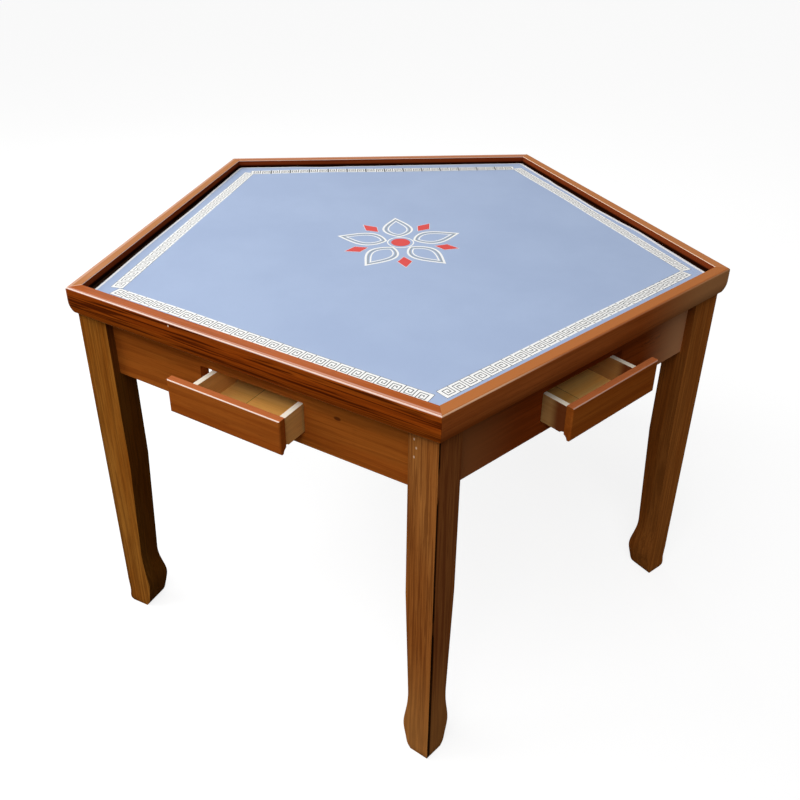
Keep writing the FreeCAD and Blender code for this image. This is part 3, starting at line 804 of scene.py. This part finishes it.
def ribbon(points, width, closed=False):
    """Left and right edge of a flat line of a given width, with mitred corners."""
    left, right = [], []
    count = len(points)
    for i, point in enumerate(points):
        before = points[i - 1] if i or closed else None
        after = points[(i + 1) % count] if i + 1 < count or closed else None
        directions = []
        if before is not None:
            directions.append((point - before).normalized())
        if after is not None:
            directions.append((after - point).normalized())
        normals = [Vector((-d.y, d.x)) for d in directions]
        mitre = sum(normals, Vector((0.0, 0.0))).normalized()
        reach = width / 2.0 / max(LEAST_MITRE, mitre.dot(normals[0]))
        left.append(point + mitre * reach)
        right.append(point - mitre * reach)
    return left, right


class Print:
    """Flat shapes of one ink, gathered into one mesh that lies on the mat."""

    def __init__(self, layer):
        self.lift = PRINT_LIFT * layer
        self.vertices, self.faces = [], []

    def add(self, place, outline_rows):
        """Joins rows of points, each row as long as the next, by quads. place turns a point of
        the drawing into one of the part's frame."""
        start, width = len(self.vertices), len(outline_rows[0])
        for row in outline_rows:
            for point in row:
                at = place(point)
                self.vertices.append((at.x, at.y, mat_height(at.x, at.y) + self.lift))
        for r in range(len(outline_rows) - 1):
            for c in range(width - 1):
                a = start + r * width + c
                self.faces.append((a, a + width, a + width + 1, a + 1))

    def line(self, place, points, width, closed=False):
        left, right = ribbon([Vector(p) for p in points], width, closed)
        if closed:
            left.append(left[0])
            right.append(right[0])
        self.add(place, [left, right])

    def piece(self, name, material):
        made = mesh_piece(name, self.vertices, self.faces, [material])
        return made


# the band's inner edge, out from the table's axis, and its width
BORDER_INNER = 0.4385
BORDER_WIDTH = 0.0237
# pairs of spirals on a side, and the length of a pair
KEY_PAIRS = 14
KEY_PAIR = 2.0 * BORDER_INNER * math.tan(HALF_ANGLE) / KEY_PAIRS
# widths of the spirals' line and of the cross lines between pairs, printed heavier on one side
# and lighter on two
KEY_LINES = {
    "back": (0.0020, 0.0038),
    "right": (0.0011, 0.0011),
    "front_right": (0.0014, 0.0014),
    "front_left": (0.0014, 0.0014),
    "left": (0.0011, 0.0011),
}
# width of the line round the band
FRAME_LINE = 0.0006
# how far the white band runs past the pattern at its ends
BAND_END = 0.0018
# how far a side's band is printed from its true place, along the side and outward, at the end
# where x is negative and at the other end
BAND_SHIFTS = {
    "back": ((-0.0020, -0.0060), (0.0020, -0.0045)),
    "right": ((0.0, 0.0), (0.0, 0.0)),
    "front_right": ((0.0, 0.0), (-0.0035, 0.0030)),
    "front_left": ((-0.0045, 0.0080), (-0.0070, 0.0030)),
    "left": ((-0.0020, -0.0095), (0.0, -0.0035)),
}
# one spiral of the key pattern in millimetres: x along the band, y from its outer edge
SPIRAL = ((19.9, 0.6), (19.9, 18.4), (5.0, 18.4), (5.0, 5.2), (15.2, 5.2), (15.2, 13.6),
          (9.8, 13.6), (9.8, 10.0))


def border(white, grey):
    """Key-pattern border: paired square spirals, one from each edge, between cross lines."""
    half = KEY_PAIRS * KEY_PAIR / 2.0
    band_end = half + BAND_END
    inner, outer = BORDER_INNER, BORDER_INNER + BORDER_WIDTH
    columns = [-half + KEY_PAIR * i / 2.0 for i in range(2 * KEY_PAIRS + 1)]
    columns = [-band_end] + columns + [band_end]
    rows = [outer, inner + BORDER_WIDTH / 2.0, inner]
    for side, facing in SIDES.items():
        def place(point, facing=facing, shifts=BAND_SHIFTS[side]):
            share = point[0] / (2.0 * half) + 0.5
            aside, outward = (a + (b - a) * share for a, b in zip(*shifts))
            return on_side(facing, point[0] + aside, point[1] + outward)

        key_line, cross_line = KEY_LINES[side]
        white.add(place, [[(x, y) for x in columns] for y in rows])
        frame_line = [
            (-band_end, inner), (band_end, inner), (band_end, outer), (-band_end, outer),
        ]
        grey.line(place, frame_line, FRAME_LINE, closed=True)
        for pair in range(KEY_PAIRS):
            left = -half + pair * KEY_PAIR
            if pair:
                ends = [(left, outer - FRAME_LINE), (left, inner + FRAME_LINE)]
                grey.line(place, ends, cross_line)
            from_outer = [(left + x / 1000.0, outer - y / 1000.0) for x, y in SPIRAL]
            from_inner = [(left + KEY_PAIR - x / 1000.0, inner + y / 1000.0) for x, y in SPIRAL]
            grey.line(place, from_outer, key_line)
            grey.line(place, from_inner, key_line)


# the rosette, in metres from the mat's middle: a lozenge between each two petals, a disc in the
# middle and a ring round it, with the widths of their lines
PETALS = 5
LOZENGE = ((0.070, 0.0), (0.092, 0.014), (0.118, 0.0), (0.092, -0.014))
LOZENGE_LINE = 0.0016
DISC_RADIUS = 0.019
RING_RADIUS = 0.026
RING_LINE = 0.0026


def petal(angle, near, far, half_width, steps=24):
    """Outline of a pointed petal that grows from the mat's middle."""
    points = []
    for side in (1.0, -1.0):
        for i in range(steps):
            t = i / steps if side > 0 else 1.0 - i / steps
            along_petal = near + (far - near) * t
            across = half_width * math.sin(math.pi * t ** 0.8) * (1.0 - 0.25 * t) * side
            points.append((along_petal, across))
    return turned(points, angle)


def circle(radius, steps=48):
    """Points round the mat's middle."""
    angles = [i * 2.0 * math.pi / steps for i in range(steps)]
    return [(radius * math.cos(angle), radius * math.sin(angle)) for angle in angles]


def rosette(white, grey, red):
    """Five-petalled ornament in the middle of the mat."""
    def place(point):
        return Vector((point[0], point[1] + AXIS_Y, 0.0))

    # a petal's outlines: ink, nearest and farthest point, half width, and width of the line
    outlines = (
        (white, 0.030, 0.128, 0.0330, 0.0042),
        (grey, 0.034, 0.121, 0.0275, 0.0030),
        (white, 0.040, 0.112, 0.0215, 0.0028),
    )
    for i in range(PETALS):
        angle = math.pi / 2.0 + i * 2.0 * math.pi / PETALS
        for layer, near, far, half_width, line_width in outlines:
            layer.line(place, petal(angle, near, far, half_width), line_width, closed=True)
        lozenge = turned(LOZENGE, angle + math.pi / PETALS)
        red.add(place, [[lozenge[0], lozenge[1]], [lozenge[3], lozenge[2]]])
        white.line(place, lozenge, LOZENGE_LINE, closed=True)
    white.line(place, circle(RING_RADIUS), RING_LINE, closed=True)
    disc = circle(DISC_RADIUS)
    disc.append(disc[0])
    red.add(place, [disc, [(0.0, 0.0)] * len(disc)])


# how much lighter and darker than its colour an ink gets
INK_UNEVENNESS = 0.06


def ink(name, colour):
    """Printed ink, a little worn and uneven."""
    shader = Shader(name)
    wear = shader.noise(shader.placed(), 420.0, detail=3.0)
    paler = tuple(min(1.0, c * (1.0 + INK_UNEVENNESS)) for c in colour[:3]) + (1.0,)
    darker = tuple(c * (1.0 - INK_UNEVENNESS) for c in colour[:3]) + (1.0,)
    shader.set(Base_Color=shader.mix(wear, darker, paler), Roughness=0.62)
    shader.bump(shader.noise(shader.placed(), 1400.0), distance=0.00004, strength=0.4)
    return shader.material


def mat_cloth(name, colour, paler):
    """Smooth rubber-backed cloth: fine even weave and a faint mottle."""
    shader = Shader(name)
    mottle = shader.noise(shader.placed(), 5.0, detail=4.0, roughness=0.6)
    weave = shader.noise(shader.placed(scale=(1, 1, 0.2)), 1500.0, detail=1.0)
    tone = shader.mix(shader.ramp(mottle, 0.3, 0.7), colour, paler)
    tone = shader.mix(shader.ramp(weave, 0.35, 0.75, 0.0, 0.10), tone, srgb(120, 134, 170))
    shader.set(Base_Color=tone, Roughness=0.8, Specular_IOR_Level=0.25, Sheen_Weight=0.08)
    shader.bump(weave, distance=0.00006, strength=0.5)
    return shader.material


def lay_mat():
    """The mat with its print, made as a sheet of cloth cut as a pentagon."""
    cloth = mat_cloth("mat_cloth", srgb(166, 184, 216), srgb(172, 190, 221))
    # the mat's white edge: a painted highlight on its rounded edge
    edge = mat_cloth("mat_edge_painted_highlight", srgb(250, 250, 252), srgb(255, 255, 255))
    sheet = playing_mat([cloth, edge])
    white, lines, red, grey = Print(1), Print(2), Print(2), Print(2)
    border(white, lines)
    rosette(white, grey, red)
    pieces = [
        white.piece("mat_print_white", ink("white_ink", srgb(252, 252, 248))),
        lines.piece("mat_print_key_lines", ink("grey_ink", srgb(72, 76, 78))),
        grey.piece("mat_print_grey", ink("pale_grey_ink", srgb(150, 160, 168))),
        red.piece("mat_print_red", ink("red_ink", srgb(214, 56, 50))),
    ]


# ---- studio --------------------------------------------------------------------------------
FLOOR_REACH = 30.0
# grey of the floor for the rays that light things, and grey and glow where it is looked at
FLOOR_DIM = 0.16
FLOOR_PALE = 0.30
FLOOR_GLOW = 0.82
# strength of the world for the rays that light things
WORLD_LIGHT = 0.13


def seen_directly(tree):
    """1 where a camera, glossy or transmission ray looks, 0 for the rays that light things."""
    path = tree.nodes.new("ShaderNodeLightPath")
    looks = path.outputs["Is Camera Ray"]
    for name in ("Is Glossy Ray", "Is Transmission Ray"):
        larger = tree.nodes.new("ShaderNodeMath")
        larger.operation = "MAXIMUM"
        tree.links.new(looks, larger.inputs[0])
        tree.links.new(path.outputs[name], larger.inputs[1])
        looks = larger.outputs["Value"]
    return looks


def two_looks(tree, output, lighting, shown):
    """Sends one shader to the rays that light things and another to those that look."""
    choose = tree.nodes.new("ShaderNodeMixShader")
    tree.links.new(seen_directly(tree), choose.inputs[0])
    tree.links.new(lighting.outputs[0], choose.inputs[1])
    tree.links.new(shown.outputs[0], choose.inputs[2])
    tree.links.new(choose.outputs[0], tree.nodes.new(output).inputs[0])


def emptied(owner):
    """The node tree of a material or world, with nothing in it."""
    owner.use_nodes = True
    owner.node_tree.nodes.clear()
    return owner.node_tree


def pale_floor():
    mesh = bpy.data.meshes.new("floor")
    corners = [
        (x * FLOOR_REACH, y * FLOOR_REACH, 0) for x, y in ((-1, -1), (1, -1), (1, 1), (-1, 1))
    ]
    mesh.from_pydata(corners, [], [(0, 1, 2, 3)])
    floor = bpy.data.objects.new("floor", mesh)
    bpy.context.scene.collection.objects.link(floor)
    material = bpy.data.materials.new("floor")
    tree = emptied(material)
    dim = tree.nodes.new("ShaderNodeBsdfDiffuse")
    dim.inputs["Color"].default_value = (FLOOR_DIM, FLOOR_DIM, FLOOR_DIM, 1)
    pale = tree.nodes.new("ShaderNodeBsdfDiffuse")
    pale.inputs["Color"].default_value = (FLOOR_PALE, FLOOR_PALE, FLOOR_PALE, 1)
    glow = tree.nodes.new("ShaderNodeEmission")
    glow.inputs["Strength"].default_value = FLOOR_GLOW
    both = tree.nodes.new("ShaderNodeAddShader")
    tree.links.new(pale.outputs[0], both.inputs[0])
    tree.links.new(glow.outputs[0], both.inputs[1])
    two_looks(tree, "ShaderNodeOutputMaterial", dim, both)
    mesh.materials.append(material)


def pale_world():
    world = bpy.data.worlds.new("studio")
    bpy.context.scene.world = world
    tree = emptied(world)
    backgrounds = []
    for strength in (WORLD_LIGHT, 1.0):
        background = tree.nodes.new("ShaderNodeBackground")
        background.inputs["Color"].default_value = (1, 1, 1, 1)
        background.inputs["Strength"].default_value = strength
        backgrounds.append(background)
    two_looks(tree, "ShaderNodeOutputWorld", *backgrounds)


def toward(azimuth, elevation):
    """Direction to a lamp, in degrees from +X and above the floor."""
    a, e = math.radians(azimuth), math.radians(elevation)
    return Vector((math.cos(a) * math.cos(e), math.sin(a) * math.cos(e), math.sin(e)))


def hang(name, lamp, direction, place=(0.0, 0.0, 0.0)):
    """Puts a lamp in the scene, so that it shines against the direction."""
    made = bpy.data.objects.new(name, lamp)
    made.location = place
    made.rotation_mode = "QUATERNION"
    made.rotation_quaternion = direction.to_track_quat("Z", "Y")
    bpy.context.scene.collection.objects.link(made)


def sun(name, azimuth, elevation, strength, angle):
    lamp = bpy.data.lights.new(name, "SUN")
    lamp.energy = strength * math.pi
    lamp.angle = math.radians(angle)
    hang(name, lamp, toward(azimuth, elevation))


def softbox(name, azimuth, elevation, distance, size, watts, aim=(0.0, 0.0, 0.72)):
    lamp = bpy.data.lights.new(name, "AREA")
    lamp.shape = "RECTANGLE"
    lamp.size, lamp.size_y = size
    lamp.energy = watts
    direction = toward(azimuth, elevation)
    hang(name, lamp, direction, Vector(aim) + direction * distance)


# ---- camera --------------------------------------------------------------------------------
# solved from the corners and arrises of the table in the photograph; the principal point is in
# the pixels of its square of PICTURE_PIXELS
CAMERA_PLACE = (-0.1476, -1.5168, 1.4172)
CAMERA_FORWARD = (0.0975, 0.8750, -0.4743)
CAMERA_RIGHT = (0.9947, -0.1014, 0.0175)
FOCAL_PIXELS = 859.3
PICTURE_PIXELS = 800.0
PRINCIPAL_POINT = (413.1, 317.5)
SENSOR = 36.0


def add_camera():
    data = bpy.data.cameras.new("camera")
    data.sensor_width = SENSOR
    data.lens = FOCAL_PIXELS * SENSOR / PICTURE_PIXELS
    data.shift_x = (PICTURE_PIXELS / 2.0 - PRINCIPAL_POINT[0]) / PICTURE_PIXELS
    data.shift_y = (PRINCIPAL_POINT[1] - PICTURE_PIXELS / 2.0) / PICTURE_PIXELS
    camera = bpy.data.objects.new("camera", data)
    forward = Vector(CAMERA_FORWARD).normalized()
    right = Vector(CAMERA_RIGHT)
    right = (right - forward * right.dot(forward)).normalized()
    up = right.cross(forward)
    turn = Matrix((right, up, -forward)).transposed().to_4x4()
    camera.matrix_world = Matrix.Translation(CAMERA_PLACE) @ turn
    bpy.context.scene.collection.objects.link(camera)
    bpy.context.scene.camera = camera


add_camera()
finish_sides()
finish_corners()
finish_hidden_parts()
lay_mat()
pale_floor()
pale_world()
sun("key", azimuth=-143.0, elevation=59.0, strength=0.21, angle=40.0)
sun("front_fill", azimuth=-105.0, elevation=42.0, strength=0.17, angle=30.0)
softbox("left_window", azimuth=172.0, elevation=37.0, distance=3.2, size=(2.6, 2.2), watts=57.0)
softbox("back_window", azimuth=103.0, elevation=31.0, distance=3.0, size=(1.5, 0.8), watts=13.5)
softbox("front_top", azimuth=-112.0, elevation=60.0, distance=1.7, size=(1.2, 1.2), watts=8.6,
        aim=(0.0, -0.35, 0.66))
bpy.context.scene.view_settings.view_transform = "Standard"
